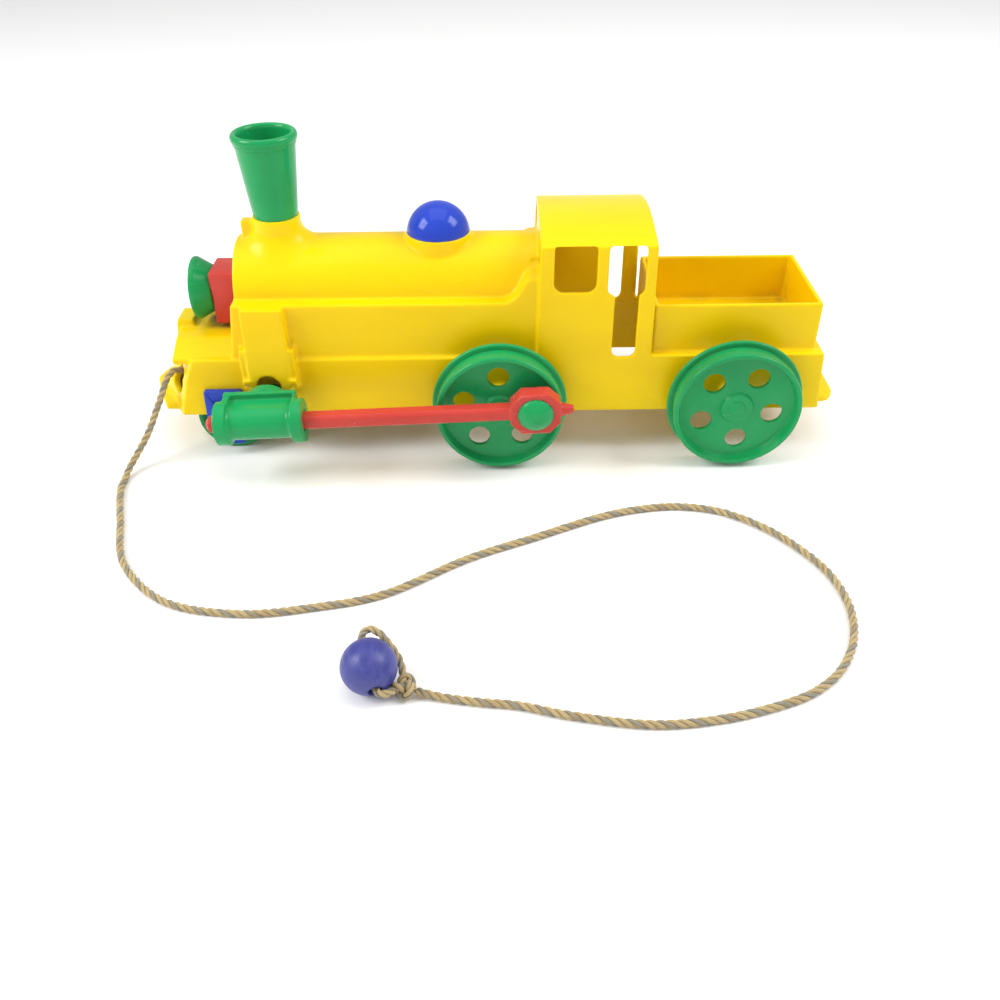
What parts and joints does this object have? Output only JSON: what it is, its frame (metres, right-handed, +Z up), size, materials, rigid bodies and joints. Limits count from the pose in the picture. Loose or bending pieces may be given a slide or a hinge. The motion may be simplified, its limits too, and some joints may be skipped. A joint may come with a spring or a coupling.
{
  "type": "pull-along toy locomotive",
  "caption": "Moulded toy steam locomotive with cab and tender box, rolling wheels, rocking cylinders, sliding rods and a pull cord with a ball.",
  "frame": {"origin": "middle of the toy's length and width, on the floor under the wheels", "axes": "-X is the front of the locomotive, +X the rear, -Y the side where the cord comes out, +Z up"},
  "size_m": [0.4082, 0.326, 0.1732],
  "materials": {
    "yellow_plastic": "satin moulded",
    "green_plastic": "satin moulded",
    "red_plastic": "satin moulded",
    "blue_plastic": "satin moulded",
    "axle_steel": "drawn wire",
    "cord_fibre": "twisted",
    "ball_wood": "painted"
  },
  "bodies": {
    "locomotive": {"body_shell": "yellow_plastic", "chimney": "green_plastic", "dome": "blue_plastic", "lamp_bracket": "red_plastic", "headlamp": "green_plastic", "axle_plate_left": "blue_plastic", "axle_plate_right": "blue_plastic", "pull_cord": "cord_fibre", "cord_stopper_knot": "cord_fibre", "cord_end_knot": "cord_fibre", "cord_loop": "cord_fibre", "pull_ball": "ball_wood"},
    "driver_wheelset": {"driver_axle": "axle_steel", "driver_wheel_left": "green_plastic", "driver_wheel_right": "green_plastic", "crank_pin_left": "green_plastic", "crank_pin_right": "green_plastic"},
    "rear_wheelset": {"rear_axle": "axle_steel", "rear_wheel_left": "green_plastic", "rear_wheel_right": "green_plastic"},
    "pony_wheelset": {"pony_axle": "axle_steel", "pony_wheel_left": "green_plastic", "pony_wheel_right": "green_plastic"},
    "left_cylinder": {"cylinder_left": "green_plastic", "pivot_clip_left": "axle_steel"},
    "right_cylinder": {"cylinder_right": "green_plastic", "pivot_clip_right": "axle_steel"},
    "left_rod": {"rod_left": "red_plastic", "crank_cap_left": "green_plastic"},
    "right_rod": {"rod_right": "red_plastic", "crank_cap_right": "green_plastic"}
  },
  "joints": [
    {"name": "driver_spin", "type": "hinge", "parent": "locomotive", "child": "driver_wheelset", "pos_m": [0.006, 0, 0.0375], "axis": [0, 1, 0], "continuous": true},
    {"name": "rear_spin", "type": "hinge", "parent": "locomotive", "child": "rear_wheelset", "pos_m": [0.137, 0, 0.0375], "axis": [0, 1, 0], "continuous": true},
    {"name": "pony_spin", "type": "hinge", "parent": "locomotive", "child": "pony_wheelset", "pos_m": [-0.15, 0, 0.02], "axis": [0, 1, 0], "continuous": true},
    {"name": "left_cylinder_rock", "type": "hinge", "parent": "locomotive", "child": "left_cylinder", "pos_m": [-0.122, 0, 0.039], "axis": [0, 1, 0], "range_deg": [-6.4, 11.9]},
    {"name": "right_cylinder_rock", "type": "hinge", "parent": "locomotive", "child": "right_cylinder", "pos_m": [-0.122, 0, 0.039], "axis": [0, 1, 0], "range_deg": [-6.4, 11.9]},
    {"name": "left_rod_slide", "type": "slide", "parent": "left_cylinder", "child": "left_rod", "axis": [0.9993, 0, 0.0369], "range_m": [-0.0399, 0.0011]},
    {"name": "right_rod_slide", "type": "slide", "parent": "right_cylinder", "child": "right_rod", "axis": [0.9993, 0, 0.0369], "range_m": [-0.0399, 0.0011]}
  ]
}
